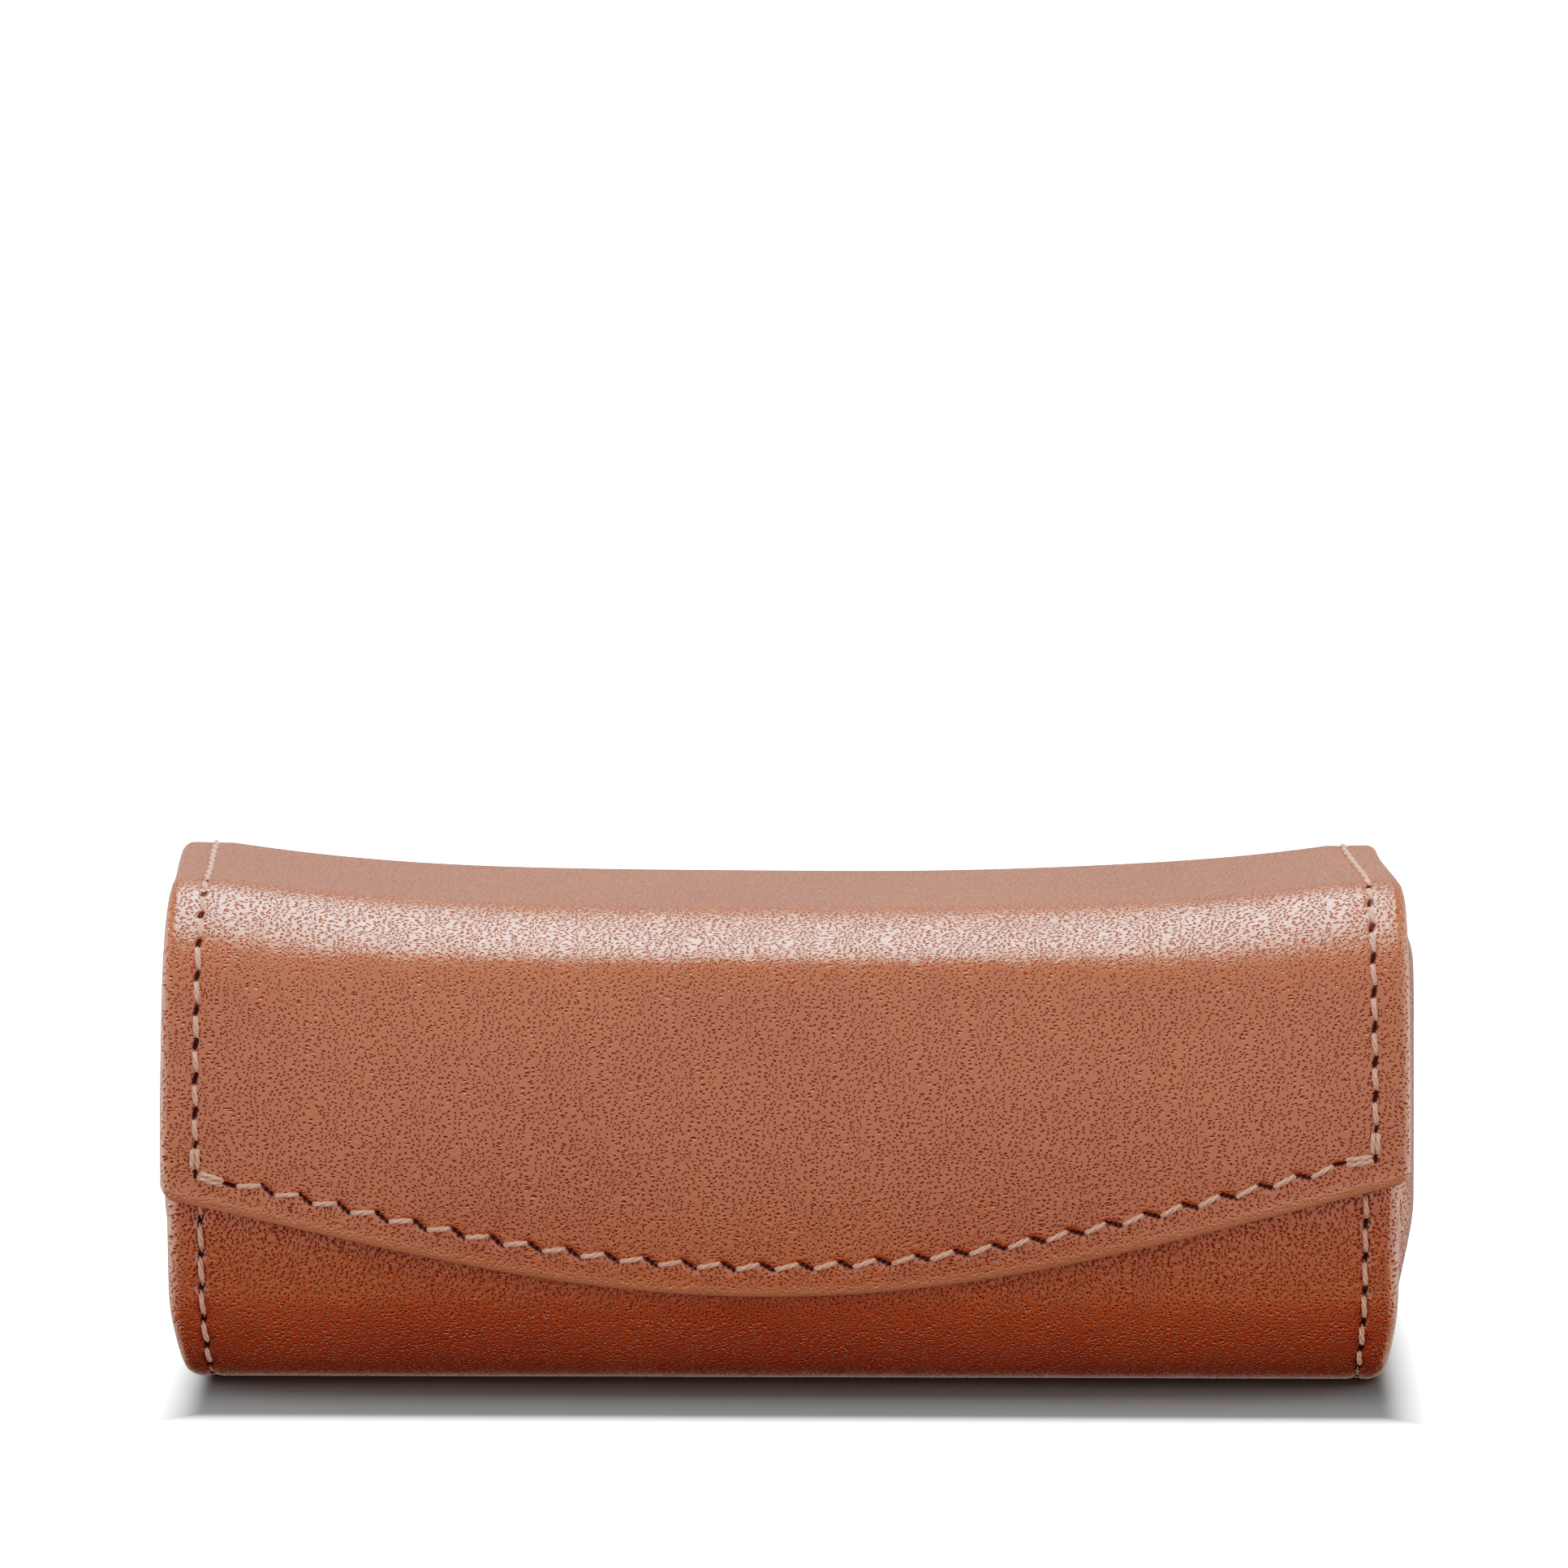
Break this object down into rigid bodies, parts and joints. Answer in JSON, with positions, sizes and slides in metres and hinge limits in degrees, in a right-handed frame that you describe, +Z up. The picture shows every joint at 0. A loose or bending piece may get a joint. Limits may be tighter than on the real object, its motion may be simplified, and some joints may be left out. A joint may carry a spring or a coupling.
{
  "type": "eyeglasses case",
  "caption": "Long rounded leather eyeglasses case: stiffened body with padded ends and a stitched flap with a bowed edge that hinges at the top of the back.",
  "frame": {"origin": "middle of the underside, on the surface the case stands on", "axes": "+Z up; X along the length, +X at the end on the right when the flap is seen from in front; the flap and the front face -Y"},
  "size_m": [0.16, 0.0579, 0.064],
  "materials": {
    "tan_leather": "smooth tan full-grain leather, semi-gloss",
    "suede_lining": "napped suede",
    "fibre_board": "grey-brown pressed fibre board",
    "foam": "soft open foam",
    "waxed_thread": "waxed twisted thread, pinkish tan",
    "keeper_steel": "plated steel",
    "magnet_metal": "dark plated magnet"
  },
  "bodies": {
    "case": {"body_leather": "tan_leather", "body_board": "fibre_board", "body_lining": "suede_lining", "front_magnet": "magnet_metal", "left_seam_thread": "waxed_thread", "right_seam_thread": "waxed_thread", "right_end_leather": "tan_leather", "left_end_leather": "tan_leather", "right_end_pad": "foam", "left_end_pad": "foam", "right_end_board": "fibre_board", "left_end_board": "fibre_board", "right_end_lining": "suede_lining", "left_end_lining": "suede_lining"},
    "flap": {"flap_leather": "tan_leather", "flap_front_board": "fibre_board", "flap_top_board": "fibre_board", "flap_lining": "suede_lining", "flap_keeper": "keeper_steel", "flap_seam_thread": "waxed_thread"}
  },
  "joints": [
    {"name": "flap_hinge", "type": "hinge", "parent": "case", "child": "flap", "pos_m": [0, 0.029, 0.054], "axis": [-1, 0, 0], "range_deg": [0, 160]}
  ]
}
